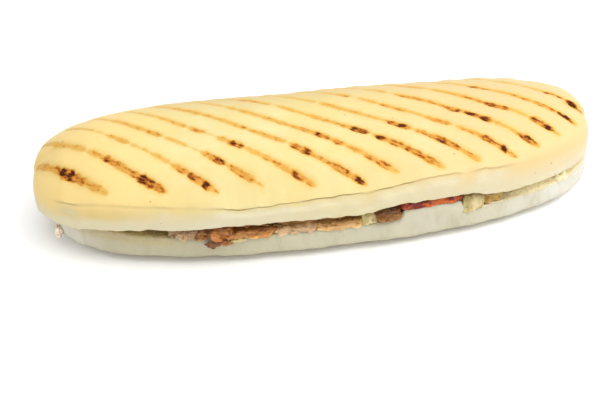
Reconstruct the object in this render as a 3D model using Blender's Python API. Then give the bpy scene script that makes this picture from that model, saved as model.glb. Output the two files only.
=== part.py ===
"""A grilled panini: two halves of a long flat roll with the filling that shows between them.

Lengths are in millimetres until a vertex is written. X runs along the roll, its front is at -Y,
and the roll rests on Z = 0 with the origin under the middle of its box.
"""

from dataclasses import dataclass
from math import asin, atan2, cos, degrees, pi, sin

import bmesh
import bpy
import numpy as np

MM = 0.001

# Plan of the top half: a squarish oval, narrower at its right end and with both ends bent back
HALF_LENGTH = 135.0
HALF_WIDTH = 48.0
SQUARENESS = 2.57
TAPER = -0.08
BEND = 4.3
BEND_CENTRE = 0.043

# Plan of the bottom half, which lies a little to the right under the top half
BOTTOM_HALF_LENGTH = 131.6
BOTTOM_HALF_WIDTH = 46.0
BOTTOM_SHIFT = 3.4
FOOT_INSET = 7.4

# Crown of the top half
CROWN_HEIGHT = 45.9
CROWN_TILT = -1.7
CROWN_ENDS = 1.5
CROWN_RADIUS = 36.6
CROWN_POWER = 2.06
CROWN_EDGE = 10.0
RIM_INSET = 1.5
CREASE_DEPTH = 1.0

# Heights along the roll, as (x, z) where they turn: the crease below the crown, the lower edge
# of the top half and the upper edge of the bottom half, each at the front and at the back
CREASE_FRONT = [(-135, 31.0), (-115, 31.4), (-97, 34.9), (-71, 34.8), (-52, 33.8), (-36, 31.4),
                (-18, 32.5), (8, 33.9), (24, 34.0), (50, 37.0), (73, 36.0), (88, 34.8),
                (115, 34.6), (135, 34.2)]
CREASE_BACK = [(-135, 31.0), (-131, 33.4), (-124, 34.2), (-88, 34.2), (-62, 34.6), (-43, 34.6),
               (-30, 33.9), (0, 34.2), (36, 35.5), (67, 36.4), (100, 37.3), (124, 37.5),
               (131, 36.6), (135, 34.2)]
LIP_FRONT = [(-135, 16.6), (-113, 18.3), (-97, 20.6), (-77, 21.8), (-60, 21.9), (-45, 22.8),
             (-33, 22.3), (-21, 23.1), (0, 22.4), (16, 22.2), (36, 24.8), (50, 24.3),
             (66, 24.1), (77, 21.2), (86, 19.7), (104, 20.0), (120, 19.6), (135, 18.6)]
LIP_BACK = [(-135, 16.6), (-104, 20.2), (-70, 22.6), (-20, 23.2), (30, 24.2), (72, 23.0),
            (100, 20.4), (135, 18.6)]
EDGE_FRONT = [(-135, 15.0), (-113, 17.2), (-98, 18.3), (-90, 16.8), (-80, 16.0), (-66, 15.2),
              (-50, 14.4), (-38, 14.2), (36, 14.1), (39, 19.8), (63, 19.4),
              (66, 12.8), (77, 12.9), (86, 13.0), (107, 13.2), (120, 14.6), (135, 16.0)]
EDGE_BACK = [(-135, 15.0), (-104, 17.6), (-74, 14.6), (30, 14.2), (80, 13.4), (104, 14.8),
             (135, 16.0)]

# The space between the halves: open over the filling, and closed by crumb toward both ends
OPEN_LEFT = (-90.0, -75.0)
OPEN_RIGHT = (87.0, 110.0)
FLOOR_OPEN = 14.1
FLOOR_CLOSED = 15.6
CEILING_OPEN = 23.7
CEILING_CLOSED = 17.5
LIP_INSET = 0.9
EDGE_INSET = 1.3
LIP_RISE_LENGTH = 8.0
EDGE_FALL_LENGTH = 7.0

# Facets
SEGMENTS = 80
FINE_FRONT = (20.0, 90.0)
FINE_DENSITY = 2.0

# Tufts of crumb that still bridge the halves: middle and half size
TUFTS = [((115.5, -22.0, 14.6), (3.0, 1.8, 3.9)), ((-99.0, 37.6, 14.8), (3.4, 1.8, 3.6))]

# Linear base colour, roughness
CRUST = ((0.86, 0.72, 0.40), 0.55)
PALE_CRUST = ((0.72, 0.67, 0.50), 0.75)
TAN_MEAT = ((0.40, 0.22, 0.10), 0.45)
BROWN_MEAT = ((0.27, 0.12, 0.045), 0.45)
PINK_MEAT = ((0.42, 0.22, 0.15), 0.45)
ORANGE_SAUCE = ((0.60, 0.20, 0.06), 0.30)
DARK_MEAT = ((0.16, 0.06, 0.03), 0.50)
RED_PEPPER = ((0.50, 0.05, 0.02), 0.22)
CHEESE = ((0.72, 0.66, 0.38), 0.35)
CREAM = ((0.74, 0.66, 0.46), 0.50)


@dataclass
class Filling:
    """One piece of filling that runs from the front of the roll to its back."""

    name: str
    colour: tuple
    left: float
    right: float
    front: tuple
    inside: tuple
    back: tuple
    front_inset: float
    back_inset: float
    segments: int = 14
    rings: int = 16


# Each height pair is (lower face, upper face)
FILLINGS = [
    Filling("meat_shred_1", PINK_MEAT, -68.4, -65.0, (16.0, 20.2), (15.0, 21.2), (16.0, 20.6),
            3.4, 5.0, 10, 12),
    Filling("meat_shred_2", TAN_MEAT, -64.6, -60.8, (15.4, 20.9), (15.0, 21.4), (16.6, 21.0),
            2.0, 3.6, 10, 12),
    Filling("meat_shred_3", PINK_MEAT, -60.4, -56.4, (15.2, 20.4), (14.9, 21.5), (15.8, 21.4),
            2.8, 6.0, 10, 12),
    Filling("meat_shred_4", BROWN_MEAT, -56.0, -50.8, (15.0, 21.2), (14.9, 21.5), (16.2, 20.2),
            1.5, 4.2, 10, 12),
    Filling("sauced_piece", ORANGE_SAUCE, -50.4, -40.8, (14.8, 22.0), (14.7, 22.2), (15.0, 21.6),
            0.9, 4.0, 12, 14),
    Filling("meat_slice_left", TAN_MEAT, -40.4, -21.6, (14.7, 18.3), (14.6, 18.2), (14.8, 18.2),
            2.2, 3.0, 14, 14),
    Filling("meat_slice_middle", PINK_MEAT, -21.2, -2.6, (14.7, 18.2), (14.6, 18.2),
            (14.8, 18.2), 2.6, 4.4, 14, 14),
    Filling("meat_slice_right", TAN_MEAT, -2.2, 18.4, (14.7, 18.2), (14.6, 18.2), (14.8, 18.2),
            2.0, 5.0, 14, 14),
    Filling("meat_slice_top", BROWN_MEAT, -39.0, 17.0, (18.6, 21.5), (18.6, 22.3), (18.6, 21.8),
            5.5, 4.0, 18, 16),
    Filling("cream_piece", CREAM, 18.8, 24.4, (14.6, 21.2), (14.6, 21.8), (14.8, 21.0),
            3.0, 4.6, 10, 12),
    Filling("meat_flap", BROWN_MEAT, 24.8, 35.4, (14.6, 23.2), (14.6, 22.2), (14.8, 22.4),
            0.6, 2.6, 12, 14),
    Filling("red_pepper_piece", RED_PEPPER, 35.8, 65.2, (20.5, 23.5), (15.0, 22.2),
            (16.0, 22.4), 2.0, 3.0, 16, 16),
    Filling("melted_cheese", CHEESE, 65.8, 74.6, (13.4, 22.2), (14.8, 22.0), (14.8, 21.2),
            1.0, 2.4, 12, 14),
    Filling("ham_piece", PINK_MEAT, 75.1, 84.8, (14.2, 19.2), (15.0, 20.6), (15.0, 20.2),
            3.8, 5.0, 12, 14),
]


@dataclass
class Scrap:
    """A small scrap of filling on the outside of the bread; point narrows it downward."""

    name: str
    colour: tuple
    middle: tuple
    half_size: tuple
    turn: float
    point: float


SCRAPS = [
    Scrap("dark_scrap", DARK_MEAT, (-49.8, -46.0, 12.9), (2.8, 0.75, 1.7), 0.0, 0.7),
    Scrap("cheese_scrap", CREAM, (-38.2, -46.3, 13.8), (2.9, 0.65, 0.6), 0.0, 0.1),
    Scrap("sauce_scrap", ORANGE_SAUCE, (-43.6, -46.4, 13.2), (2.3, 0.75, 1.2), 0.0, 0.3),
    Scrap("end_scrap", PINK_MEAT, (-123.7, -17.95, 7.6), (3.0, 1.1, 3.3), -0.97, 0.3),
]


def clear_scene():
    for thing in list(bpy.data.objects):
        bpy.data.objects.remove(thing, do_unlink=True)


def smooth_step(value, start, end):
    share = min(max((value - start) / (end - start), 0.0), 1.0)
    return share * share * (3.0 - 2.0 * share)


def height_along(points, x):
    """Read a list of (x, z) turning points at x."""
    stations, heights = zip(*points)
    return float(np.interp(x, stations, heights))


def signed_power(value, power):
    return np.sign(value) * abs(value) ** power


def unit_oval(angle):
    power = 2.0 / SQUARENESS
    return signed_power(np.cos(angle), power), signed_power(np.sin(angle), power)


def place(x, y):
    """Narrow the plan toward its right end and bend both ends back."""
    share = x / HALF_LENGTH
    return x, y * (1.0 + TAPER * share) + BEND * (share * share - BEND_CENTRE)


def segment_angles():
    """Angles of the oval that space the facets evenly, and closer where the filling shows."""
    angles = np.linspace(0.0, 2.0 * pi, 4001)
    across, deep = unit_oval(angles)
    x = HALF_LENGTH * across
    y = HALF_WIDTH * deep
    steps = np.hypot(np.diff(x), np.diff(y))
    middle = (x[1:] + x[:-1]) / 2.0
    fine = (deep[1:] < 0.0) & (middle > FINE_FRONT[0]) & (middle < FINE_FRONT[1])
    weight = np.where(fine, FINE_DENSITY, 1.0)
    travelled = np.concatenate([[0.0], np.cumsum(steps * weight)])
    return np.interp(np.arange(SEGMENTS) / SEGMENTS * travelled[-1], travelled, angles)


def inset_at(x, y, half_length, half_width):
    """How far a point of the plan lies inside the outline, found by halving."""
    low = 0.0
    high = half_width - 0.01
    for _ in range(40):
        inset = (low + high) / 2.0
        across = abs(x) / (half_length - inset)
        deep = abs(y) / (half_width - inset)
        if across ** SQUARENESS + deep ** SQUARENESS < 1.0:
            low = inset
        else:
            high = inset
    return low


def pick_side(front, back, y):
    return front if y < 0.0 else back


def crease_height(x, y):
    return height_along(pick_side(CREASE_FRONT, CREASE_BACK, y), x)


def lip_height(x, y):
    """Lower edge of the top half, a little ragged."""
    ragged = 0.25 * sin(0.71 * x) + 0.2 * sin(1.37 * x + 1.0)
    return height_along(pick_side(LIP_FRONT, LIP_BACK, y), x) + ragged


def edge_height(x, y):
    return height_along(pick_side(EDGE_FRONT, EDGE_BACK, y), x)


def open_share(x):
    return smooth_step(x, *OPEN_LEFT) * (1.0 - smooth_step(x, *OPEN_RIGHT))


def crown_height(x, y):
    """The dome: full height inside, falling ever steeper to the crease at the rim."""
    share = x / HALF_LENGTH
    top = CROWN_HEIGHT + CROWN_TILT * share + CROWN_ENDS * (share * share - 1.0 / 3.0)
    inset = inset_at(x, y, HALF_LENGTH, HALF_WIDTH)
    climb = min(max((inset - RIM_INSET) / CROWN_RADIUS, 0.0), 1.0)
    return top - (top - crease_height(x, y)) * (1.0 - climb) ** CROWN_POWER


def ceiling_height(x, y):
    """Underside of the top half: it rises behind the lip over the filling."""
    inset = inset_at(x, y, HALF_LENGTH, HALF_WIDTH)
    inner = CEILING_CLOSED + (CEILING_OPEN - CEILING_CLOSED) * open_share(x)
    rise = smooth_step(inset, LIP_INSET, LIP_INSET + LIP_RISE_LENGTH)
    return lip_height(x, y) * (1.0 - rise) + inner * rise


def floor_height(x, y):
    """Cut face of the bottom half: it falls behind the edge to carry the filling."""
    inset = inset_at(x - BOTTOM_SHIFT, y, BOTTOM_HALF_LENGTH, BOTTOM_HALF_WIDTH)
    inner = FLOOR_CLOSED + (FLOOR_OPEN - FLOOR_CLOSED) * open_share(x)
    fall = smooth_step(inset, EDGE_INSET, EDGE_INSET + EDGE_FALL_LENGTH)
    return edge_height(x, y) * (1.0 - fall) + inner * fall


def link_to(collection_name, thing):
    collection = bpy.data.collections.get(collection_name)
    if collection is None:
        collection = bpy.data.collections.new(collection_name)
        bpy.context.scene.collection.children.link(collection)
    collection.objects.link(thing)


def make_material(name, colour, roughness):
    material = bpy.data.materials.new(name)
    material.use_nodes = True
    shader = material.node_tree.nodes["Principled BSDF"]
    shader.inputs["Base Color"].default_value = (*colour, 1.0)
    shader.inputs["Roughness"].default_value = roughness
    shader.inputs["Metallic"].default_value = 0.0
    return material


def add_object(name, shape, look, collection_name="panini"):
    """Make an object of a bmesh, with its own material and smooth shading."""
    mesh = bpy.data.meshes.new(name)
    shape.normal_update()
    shape.to_mesh(mesh)
    shape.free()
    mesh.shade_smooth()
    thing = bpy.data.objects.new(name, mesh)
    mesh.materials.append(make_material(name, *look))
    link_to(collection_name, thing)
    return thing


def mapped_sphere(segments, rings, position):
    """A sphere whose vertices move to position(segment, ring); ring 0 is its +Z pole."""
    shape = bmesh.new()
    bmesh.ops.create_uvsphere(shape, u_segments=segments, v_segments=rings, radius=1.0)
    for vertex in shape.verts:
        turn = degrees(atan2(vertex.co.y, vertex.co.x)) / 360.0
        fall = 90.0 - degrees(asin(min(max(vertex.co.z, -1.0), 1.0)))
        segment = round(turn * segments) % segments
        ring = round(fall / 180.0 * rings)
        x, y, z = position(segment, ring)
        vertex.co = (x * MM, y * MM, z * MM)
    if shape.calc_volume(signed=True) < 0.0:
        bmesh.ops.reverse_faces(shape, faces=shape.faces)
    return shape


def bread_half(name, look, plan, stations):
    """Loft a half of the roll through stations of (inset, share of the way out, height)."""
    half_length, half_width, shift = plan
    angles = segment_angles()

    def position(segment, ring):
        inset, share, height = stations[ring]
        across, deep = unit_oval(angles[segment])
        x = share * (half_length - inset) * across + shift
        y = share * (half_width - inset) * deep
        return (*place(x, y), height(x, y))

    return add_object(name, mapped_sphere(SEGMENTS, len(stations) - 1, position), look)


def level(height):
    return lambda x, y: height


def above(base, offset):
    return lambda x, y: base(x, y) + offset


def between(lower, upper, share):
    return lambda x, y: lower(x, y) * (1.0 - share) + upper(x, y) * share


def make_top_bread():
    crown = [(CROWN_EDGE, share, crown_height) for share in (0.0, 0.24, 0.45, 0.63, 0.78, 0.9, 1.0)]
    rim = [(inset, 1.0, crown_height) for inset in (7.0, 4.6, 2.8, 1.8)]
    crease = [
        (RIM_INSET, 1.0, above(crease_height, 0.1)),
        (RIM_INSET + CREASE_DEPTH, 1.0, above(crease_height, -0.5)),
        (RIM_INSET - 0.5, 1.0, above(crease_height, -1.0)),
    ]
    side = [(inset, 1.0, between(lip_height, crease_height, share))
            for inset, share in ((0.4, 0.72), (0.0, 0.5), (0.05, 0.22))]
    lip = [(0.4, 1.0, above(lip_height, 0.6)), (LIP_INSET, 1.0, lip_height)]
    underside = [(inset, 1.0, ceiling_height) for inset in (2.4, 5.0, 9.0)]
    inner = [(0.0, share, ceiling_height) for share in (0.64, 0.52, 0.28, 0.0)]
    stations = crown + rim + crease + side + lip + underside + inner
    return bread_half("top_bread", CRUST, (HALF_LENGTH, HALF_WIDTH, 0.0), stations)


def make_bottom_bread():
    cut_face = [(0.0, share, floor_height) for share in (0.0, 0.28, 0.52, 0.64)]
    ridge = [(inset, 1.0, floor_height) for inset in (9.0, 5.6, 3.0)]
    side = [
        (EDGE_INSET, 1.0, edge_height),
        (0.6, 1.0, above(edge_height, -0.9)),
        (0.1, 1.0, above(edge_height, -3.6)),
        (0.0, 1.0, level(7.0)),
        (0.7, 1.0, level(4.7)),
        (2.4, 1.0, level(3.2)),
        (4.4, 1.0, level(1.75)),
        (6.2, 1.0, level(0.6)),
        (FOOT_INSET, 1.0, level(0.0)),
    ]
    sole = [(FOOT_INSET, share, level(0.0)) for share in (0.6, 0.0)]
    plan = (BOTTOM_HALF_LENGTH, BOTTOM_HALF_WIDTH, BOTTOM_SHIFT)
    return bread_half("bottom_bread", PALE_CRUST, plan, cut_face + ridge + side + sole)


def filling_half_depth(x, inset):
    """Distance from the roll's long axis to the inset outline at x."""
    across = min(abs(x) / (HALF_LENGTH - inset), 0.999)
    return (HALF_WIDTH - inset) * (1.0 - across ** SQUARENESS) ** (1.0 / SQUARENESS)


def blunt(share, power):
    """Half height of a bar with well rounded corners, at a share of its half width."""
    return max(1.0 - abs(share) ** power, 0.0) ** (1.0 / power)


def make_filling(piece):
    """A rounded bar from front to back whose faces change height on the way."""
    middle = (piece.left + piece.right) / 2.0
    half_width = (piece.right - piece.left) / 2.0

    def position(segment, ring):
        walk = 1.0 - 2.0 * ring / piece.rings
        along = (1.0 - (1.0 - abs(walk)) ** 1.6) * (1.0 if walk < 0.0 else -1.0)
        turn = 2.0 * pi * segment / piece.segments
        end = blunt(along, 9.0)
        narrow = 1.0 - 0.04 * (1.0 + sin(4.0 * along + middle))
        x = middle + half_width * narrow * end * cos(turn)
        swell = blunt(cos(turn), 5.0) * np.sign(round(sin(turn), 6))
        front = smooth_step(-along, 0.78, 0.96)
        back = smooth_step(along, 0.78, 0.96)
        low, high = (
            piece.front[k] * front + piece.back[k] * back + piece.inside[k] * (1.0 - front - back)
            for k in range(2)
        )
        z = (low + high) / 2.0 + (high - low) / 2.0 * swell * end
        inset = piece.front_inset if along < 0.0 else piece.back_inset
        y = along * filling_half_depth(x, inset)
        return (*place(x, y), z)

    return add_object(piece.name, mapped_sphere(piece.segments, piece.rings, position),
                      piece.colour)


def make_scrap(piece):
    """A small uneven lump, flat against the side of the bread."""
    shape = bmesh.new()
    bmesh.ops.create_icosphere(shape, subdivisions=2, radius=1.0)
    for vertex in shape.verts:
        narrow = 1.0 + piece.point * min(vertex.co.z, 0.0)
        vertex.co.x *= narrow * piece.half_size[0] * MM
        vertex.co.y *= piece.half_size[1] * MM
        vertex.co.z *= piece.half_size[2] * MM
    thing = add_object(piece.name, shape, piece.colour)
    thing.location = [value * MM for value in piece.middle]
    thing.rotation_euler = (0.0, 0.0, piece.turn)


def add_tufts(bread):
    """Fuse tufts of torn crumb to the cut edge of the bottom half."""
    for number, (middle, half_size) in enumerate(TUFTS, start=1):
        shape = bmesh.new()
        bmesh.ops.create_icosphere(shape, subdivisions=2, radius=1.0)
        for vertex in shape.verts:
            vertex.co = [vertex.co[k] * half_size[k] * MM for k in range(3)]
        tuft = add_object(f"crumb_tuft_{number}", shape, PALE_CRUST, "cutters")
        tuft.location = [value * MM for value in middle]
        tuft.hide_render = True
        tuft.display_type = "WIRE"
        union = bread.modifiers.new(tuft.name, "BOOLEAN")
        union.operation = "UNION"
        union.object = tuft


def main():
    clear_scene()
    make_top_bread()
    add_tufts(make_bottom_bread())
    for piece in FILLINGS:
        make_filling(piece)
    for piece in SCRAPS:
        make_scrap(piece)


main()
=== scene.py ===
"""The looks of a grilled panini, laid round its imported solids.

Lengths are in millimetres until a mesh is written. X runs along the roll, the side with the
filling is at -Y, and the roll rests on Z = 0. Every shape is a grid of points: rings run from one
pole of the piece to the other, and each ring goes once around it.
"""

from math import cos, pi, radians, sin

import bpy
import numpy as np
from mathutils import Matrix, Vector


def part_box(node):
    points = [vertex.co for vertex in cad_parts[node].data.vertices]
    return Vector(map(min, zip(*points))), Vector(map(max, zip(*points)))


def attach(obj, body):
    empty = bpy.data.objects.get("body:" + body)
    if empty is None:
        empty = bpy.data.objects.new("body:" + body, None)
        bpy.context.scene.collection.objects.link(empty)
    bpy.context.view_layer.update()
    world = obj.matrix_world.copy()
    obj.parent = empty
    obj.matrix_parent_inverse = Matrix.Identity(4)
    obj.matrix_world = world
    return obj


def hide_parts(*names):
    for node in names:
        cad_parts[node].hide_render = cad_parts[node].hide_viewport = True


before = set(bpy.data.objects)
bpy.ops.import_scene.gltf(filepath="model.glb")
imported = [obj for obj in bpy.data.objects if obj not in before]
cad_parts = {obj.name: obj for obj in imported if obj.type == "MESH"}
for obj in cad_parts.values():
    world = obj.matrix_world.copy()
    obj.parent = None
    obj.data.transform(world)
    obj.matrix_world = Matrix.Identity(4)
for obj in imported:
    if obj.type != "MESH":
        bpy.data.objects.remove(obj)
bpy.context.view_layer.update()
MM = 0.001


def node_box(node):
    """Lowest and highest corner of a CAD node, in millimetres."""
    low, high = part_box(node)
    return np.array(low) / MM, np.array(high) / MM


# Plan of the roll: a squarish oval that is narrower at its right end, both ends bent back
TOP_LOW, TOP_HIGH = node_box("top_bread")
BOTTOM_LOW, BOTTOM_HIGH = node_box("bottom_bread")
HALF_LENGTH = (TOP_HIGH[0] - TOP_LOW[0]) / 2
HALF_WIDTH = 48
SQUARENESS = 2.57
TAPER = -0.08
BEND = 4.3
BEND_CENTRE = 0.043
BOTTOM_HALF_LENGTH = (BOTTOM_HIGH[0] - BOTTOM_LOW[0]) / 2
BOTTOM_HALF_WIDTH = 46
BOTTOM_SHIFT = (BOTTOM_HIGH[0] + BOTTOM_LOW[0]) / 2

# Crown of the top half
CROWN_HEIGHT = 45.9
CROWN_TILT = -1.7
CROWN_ENDS = 1.5
CROWN_RADIUS = 36.6
CROWN_POWER = 2.06
CROWN_EDGE = 8
RIM_INSET = 1.5

# Heights along the roll, as (x, z) where they turn, at the front and at the back
CREASE_FRONT = [(-135, 31), (-124, 30.6), (-115, 31.6), (-97, 34.9), (-71, 34.8), (-52, 33.8),
                (-36, 31.4), (-18, 32.5), (8, 33.9), (24, 34), (50, 37), (73, 36),
                (88, 34.8), (115, 34.6), (135, 34.2)]
CREASE_BACK = [(-135, 31), (-131, 33.4), (-124, 34.2), (-88, 34.2), (-62, 34.6), (-43, 34.6),
               (-30, 33.9), (0, 34.2), (36, 35.5), (67, 36.4), (100, 37.3), (124, 37.5),
               (131, 36.6), (135, 34.2)]
LIP_FRONT = [(-135, 16.6), (-113, 18.3), (-102, 20), (-89, 20.9), (-77, 21.9), (-65, 21.4),
             (-56, 22), (-44, 22.9), (-33, 22.9), (-27, 22.6), (-21, 23.2), (-6, 22.5),
             (8, 22.1), (18, 22.1), (25, 23.1), (36, 24.9), (45, 24.5), (54, 24.2), (59, 24.1),
             (64, 24.4), (69, 23.9), (77, 21.1), (86, 19.7), (102, 20.1), (114, 19.8), (135, 18.6)]
LIP_BACK = [(-135, 16.6), (-104, 20.2), (-70, 22.6), (-20, 23.2), (30, 24.2), (72, 23),
            (100, 20.4), (135, 18.6)]
EDGE_FRONT = [(-135, 15), (-113, 16.8), (-98, 17.5), (-90, 16.4), (-80, 15.8), (-66, 15.2),
              (-50, 14.4), (-38, 14.2), (35.2, 14.1), (37.6, 19.8), (48, 19.7), (64.6, 19.5),
              (66.8, 12.9), (77, 13.4), (86, 13.6), (107, 13.3), (120, 13.4), (135, 14.6)]
EDGE_BACK = [(-135, 15), (-104, 17.6), (-74, 14.6), (30, 14.2), (80, 13.4), (104, 14.4), (135, 14.6)]

# The crease along the front, and the middle and half width of a short cut at its left
CREASE_START = (-124, -116)
CREASE_DEEPENS = (-52, -34)
CREASE_THINS = (28, 46)
CREASE_END = (72, 98)
SHALLOW_CUT = 0.22
LEFT_CUT = (-112, 12)

# The space between the halves
OPEN_LEFT = (-82, -70)
OPEN_RIGHT = (86, 97)
FLOOR_OPEN = 14.1
FLOOR_CLOSED = 15.6
CEILING_OPEN = 23.7
CEILING_CLOSED = 17.5
LIP_INSET = 0.9
LIP_RISE_LENGTH = 8
EDGE_INSET = 1.3
EDGE_FALL_LENGTH = 7

# Grill marks: parallel lines in plan, numbered from the left, and how dark in percent each stays
# between its stretches
MARK_ANGLE = radians(38.12)
MARK_PITCH = 12.54
MARK_FIRST = -84.13
FAINT_LINE = 10

# Samples along the roll, and how many of them round a turning point
ALONG_REACH = 150
ALONG_STEP = 0.25
ROUNDING = 6


def ease(value, start, end):
    """0 before start, 1 after end, and a smooth S between them."""
    share = np.clip((value - start) / (end - start), 0, 1)
    return share * share * (3 - 2 * share)


def bump_at(value, middle, half_width):
    """1 at the middle, falling smoothly to 0 at half_width from it."""
    return 1 - ease(np.abs(value - middle), 0, half_width)


def along_roll(points, x):
    """Turning points joined by straight lines whose corners are rounded over 3 mm."""
    stations, heights = zip(*points)
    fine = np.arange(-ALONG_REACH, ALONG_REACH, ALONG_STEP)
    window = np.hanning(2 * ROUNDING + 1)
    padded = np.pad(np.interp(fine, stations, heights), ROUNDING, mode="edge")
    return np.interp(x, fine, np.convolve(padded, window / window.sum(), "valid"))


def waves(points, length, seed, count=14):
    """Smooth noise from about -1 to 1: plane waves of nearly one length, in random directions."""
    draw = np.random.default_rng(seed)
    directions = draw.normal(size=(count, 3))
    directions /= np.linalg.norm(directions, axis=1, keepdims=True)
    scales = 2 * pi / (length * draw.uniform(0.7, 1.4, count))
    phases = draw.uniform(0, 2 * pi, count)
    return np.sin(points @ (directions * scales[:, None]).T + phases).sum(-1) / np.sqrt(count)


def line_waves(x, length, seed, count=8):
    """The same noise along one line."""
    points = np.stack([x, np.zeros_like(x), np.zeros_like(x)], -1)
    return waves(points, length, seed, count)


def unit_oval(angle):
    """A squarish oval of radius 1: cosine and sine raised to the power 2 / squareness."""
    across, deep = np.cos(angle), np.sin(angle)
    power = 2 / SQUARENESS
    return np.sign(across) * np.abs(across) ** power, np.sign(deep) * np.abs(deep) ** power


def even_angles(count):
    """Angles that lie evenly spaced along the outline of the roll."""
    angles = np.linspace(0, 2 * pi, 8001)
    across, deep = unit_oval(angles)
    steps = np.hypot(np.diff(HALF_LENGTH * across), np.diff(HALF_WIDTH * deep))
    travelled = np.concatenate([[0], np.cumsum(steps)])
    return np.interp(np.arange(count) / count * travelled[-1], travelled, angles)


def place(x, y):
    """Narrow the plan toward the right and bend both ends back by the square of x."""
    share = x / HALF_LENGTH
    return y * (1 + TAPER * share) + BEND * (share * share - BEND_CENTRE)


def unplace(x, y):
    """The straight plan's y of a point of the bent plan."""
    share = x / HALF_LENGTH
    return (y - BEND * (share * share - BEND_CENTRE)) / (1 + TAPER * share)


def inset_at(x, y, half_length=HALF_LENGTH, half_width=HALF_WIDTH, rounds=26):
    """How far points of the straight plan lie inside the oval, found by halving."""
    low = np.zeros_like(x)
    high = np.full_like(x, half_width - 0.01)
    for _ in range(rounds):
        inset = (low + high) / 2
        across = np.abs(x) / (half_length - inset)
        deep = np.abs(y) / (half_width - inset)
        within = across ** SQUARENESS + deep ** SQUARENESS < 1
        low = np.where(within, inset, low)
        high = np.where(within, high, inset)
    return low


def ragged_line(front, back, *nicks):
    """The front's or the back's points plus waves, given as (height, slant, length, seed)."""
    def height(x, y):
        ragged = sum(size * line_waves(x + slant * y, length, seed)
                     for size, slant, length, seed in nicks)
        return np.where(y < 0, along_roll(front, x), along_roll(back, x)) + ragged
    return height


crease_height = ragged_line(CREASE_FRONT, CREASE_BACK, (0.22, 0, 9, 11), (0.12, 0, 3.5, 12))
lip_height = ragged_line(LIP_FRONT, LIP_BACK, (0.22, 0.3, 6, 13), (0.17, -0.5, 2.6, 14))
edge_height = ragged_line(EDGE_FRONT, EDGE_BACK, (0.15, 0.4, 7, 15), (0.08, -0.5, 2.4, 16))


def open_share(x):
    """1 where the halves stand open over the filling, 0 where crumb closes them."""
    return ease(x, *OPEN_LEFT) * (1 - ease(x, *OPEN_RIGHT))


def crown_height(x, y, inset):
    """The dome: full height inside, falling ever steeper to the crease at the rim."""
    share = x / HALF_LENGTH
    top = CROWN_HEIGHT + CROWN_TILT * share + CROWN_ENDS * (share * share - 1 / 3)
    climb = np.clip((inset - RIM_INSET) / CROWN_RADIUS, 0, 1)
    return top - (top - crease_height(x, y)) * (1 - climb) ** CROWN_POWER


def ceiling_height(x, y):
    """Underside of the top half: it rises behind the lip over the filling."""
    inner = CEILING_CLOSED + (CEILING_OPEN - CEILING_CLOSED) * open_share(x)
    rise = ease(inset_at(x, y), LIP_INSET, LIP_INSET + LIP_RISE_LENGTH)
    return lip_height(x, y) * (1 - rise) + inner * rise


def floor_height(x, y):
    """Cut face of the bottom half: it falls behind the edge to carry the filling."""
    inner = FLOOR_CLOSED + (FLOOR_OPEN - FLOOR_CLOSED) * open_share(x)
    inset = inset_at(x - BOTTOM_SHIFT, y, BOTTOM_HALF_LENGTH, BOTTOM_HALF_WIDTH)
    fall = ease(inset, EDGE_INSET, EDGE_INSET + EDGE_FALL_LENGTH)
    return edge_height(x, y) * (1 - fall) + inner * fall


def crease_strength(x, y):
    """How deep the crease is cut, in patches: with a deep stretch and a short cut at the front."""
    deep = ease(x, *CREASE_DEEPENS) * (1 - 0.6 * ease(x, *CREASE_THINS))
    front = SHALLOW_CUT + (1 - SHALLOW_CUT) * deep
    front *= (1 - ease(x, *CREASE_END)) * ease(x, *CREASE_START)
    front = np.maximum(front, 0.5 * bump_at(x, *LEFT_CUT))
    back = 0.3 + 0.25 * line_waves(x, 60, 17)
    patches = 0.75 + 0.35 * line_waves(x, 9, 18)
    return np.clip(np.where(y < 0, front, back) * patches, 0, 1.1)


def push_out(grid, amount):
    """Move a grid along its normal, the cross product of its ring and around directions."""
    down = np.gradient(grid, axis=0)
    around = np.roll(grid, -1, axis=1) - np.roll(grid, 1, axis=1)
    normal = np.cross(down, around)
    normal /= np.linalg.norm(normal, axis=-1, keepdims=True) + 1e-9
    return grid + normal * amount[..., None]


def smooth_rings(grid, weight, rounds):
    """Round the profile across the rings where the weight is high."""
    for _ in range(rounds):
        between = (grid[:-2] + grid[2:]) / 2
        grid[1:-1] += 0.5 * weight[1:-1, :, None] * (between - grid[1:-1])
    return grid


class Rings:
    """Rings of the squarish oval, gathered into a grid with the values of its masks."""

    def __init__(self, half_length, half_width, shift, around, mask_names):
        self.half_length = half_length
        self.half_width = half_width
        self.shift = shift
        self.across, self.deep = unit_oval(even_angles(around))
        self.rows = []
        self.masks = {name: [] for name in mask_names}

    def add(self, inset, share, height, **values):
        """The oval set in and shrunk to a share, at a height that follows x and y."""
        x = share * (self.half_length - inset) * self.across + self.shift
        y = share * (self.half_width - inset) * self.deep
        self.rows.append(np.stack([x, place(x, y), height(x, y)], -1))
        for name, row in self.masks.items():
            value = values.get(name, 0)
            row.append(np.zeros_like(x) + (value(x, y) if callable(value) else value))

    def stacked(self):
        """The grid of points and the grid of each mask."""
        return np.stack(self.rows), {name: np.stack(row) for name, row in self.masks.items()}


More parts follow.
